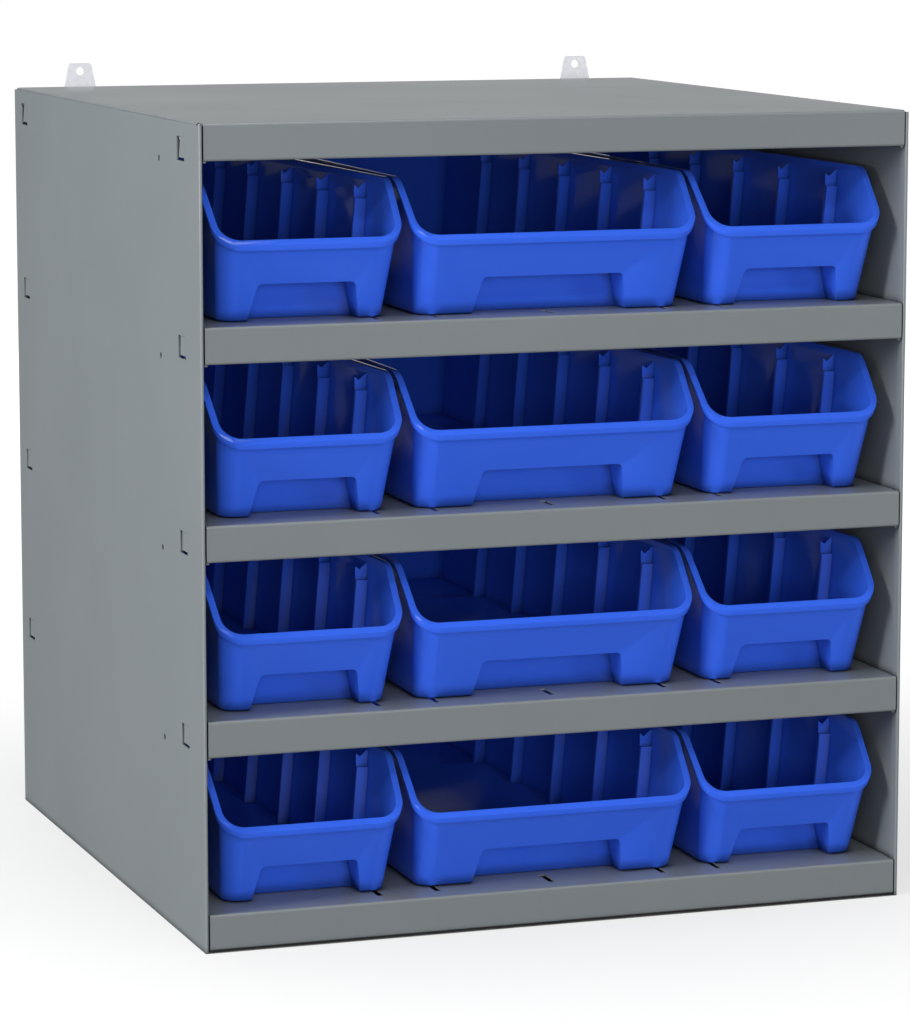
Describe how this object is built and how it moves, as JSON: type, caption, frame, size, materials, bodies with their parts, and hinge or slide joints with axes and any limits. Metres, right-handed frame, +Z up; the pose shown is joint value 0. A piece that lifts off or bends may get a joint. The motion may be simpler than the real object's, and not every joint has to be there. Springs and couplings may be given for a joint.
{
  "type": "bin rack",
  "caption": "Open-fronted sheet-steel rack whose shelves carry slide-in plastic hopper bins, with wall tabs behind its top.",
  "frame": {"origin": "on the floor, at the middle of the rack's footprint, the bottom centre of its box", "axes": "+X to the right seen from the front, +Y from the open front to the back, +Z up; bins pull out along -Y"},
  "size_m": [0.586, 0.594, 0.66],
  "materials": {
    "case_steel": "smooth grey powder coat, satin",
    "plated_steel": "zinc plated, mottled",
    "rivet_steel": "bright steel",
    "bin_plastic": "moulded, glossy"
  },
  "bodies": {
    "rack": {"left_side_panel": "case_steel", "right_side_panel": "case_steel", "top_panel": "case_steel", "bottom_shelf": "case_steel", "lower_shelf": "case_steel", "middle_shelf": "case_steel", "upper_shelf": "case_steel", "left_wall_tab": "plated_steel", "right_wall_tab": "plated_steel", "tab_rivets": "rivet_steel"},
    "row_1_left_bin": {"row_1_left_bin": "bin_plastic"},
    "row_1_middle_bin": {"row_1_middle_bin": "bin_plastic"},
    "row_1_right_bin": {"row_1_right_bin": "bin_plastic"},
    "row_2_left_bin": {"row_2_left_bin": "bin_plastic"},
    "row_2_middle_bin": {"row_2_middle_bin": "bin_plastic"},
    "row_2_right_bin": {"row_2_right_bin": "bin_plastic"},
    "row_3_left_bin": {"row_3_left_bin": "bin_plastic"},
    "row_3_middle_bin": {"row_3_middle_bin": "bin_plastic"},
    "row_3_right_bin": {"row_3_right_bin": "bin_plastic"},
    "row_4_left_bin": {"row_4_left_bin": "bin_plastic"},
    "row_4_middle_bin": {"row_4_middle_bin": "bin_plastic"},
    "row_4_right_bin": {"row_4_right_bin": "bin_plastic"}
  },
  "joints": [
    {"name": "row_1_left_bin_slide", "type": "slide", "parent": "rack", "child": "row_1_left_bin", "axis": [0, -1, 0], "range_m": [0, 0.59]},
    {"name": "row_1_middle_bin_slide", "type": "slide", "parent": "rack", "child": "row_1_middle_bin", "axis": [0, -1, 0], "range_m": [0, 0.59]},
    {"name": "row_1_right_bin_slide", "type": "slide", "parent": "rack", "child": "row_1_right_bin", "axis": [0, -1, 0], "range_m": [0, 0.59]},
    {"name": "row_2_left_bin_slide", "type": "slide", "parent": "rack", "child": "row_2_left_bin", "axis": [0, -1, 0], "range_m": [0, 0.59]},
    {"name": "row_2_middle_bin_slide", "type": "slide", "parent": "rack", "child": "row_2_middle_bin", "axis": [0, -1, 0], "range_m": [0, 0.59]},
    {"name": "row_2_right_bin_slide", "type": "slide", "parent": "rack", "child": "row_2_right_bin", "axis": [0, -1, 0], "range_m": [0, 0.59]},
    {"name": "row_3_left_bin_slide", "type": "slide", "parent": "rack", "child": "row_3_left_bin", "axis": [0, -1, 0], "range_m": [0, 0.59]},
    {"name": "row_3_middle_bin_slide", "type": "slide", "parent": "rack", "child": "row_3_middle_bin", "axis": [0, -1, 0], "range_m": [0, 0.59]},
    {"name": "row_3_right_bin_slide", "type": "slide", "parent": "rack", "child": "row_3_right_bin", "axis": [0, -1, 0], "range_m": [0, 0.59]},
    {"name": "row_4_left_bin_slide", "type": "slide", "parent": "rack", "child": "row_4_left_bin", "axis": [0, -1, 0], "range_m": [0, 0.59]},
    {"name": "row_4_middle_bin_slide", "type": "slide", "parent": "rack", "child": "row_4_middle_bin", "axis": [0, -1, 0], "range_m": [0, 0.59]},
    {"name": "row_4_right_bin_slide", "type": "slide", "parent": "rack", "child": "row_4_right_bin", "axis": [0, -1, 0], "range_m": [0, 0.59]}
  ]
}
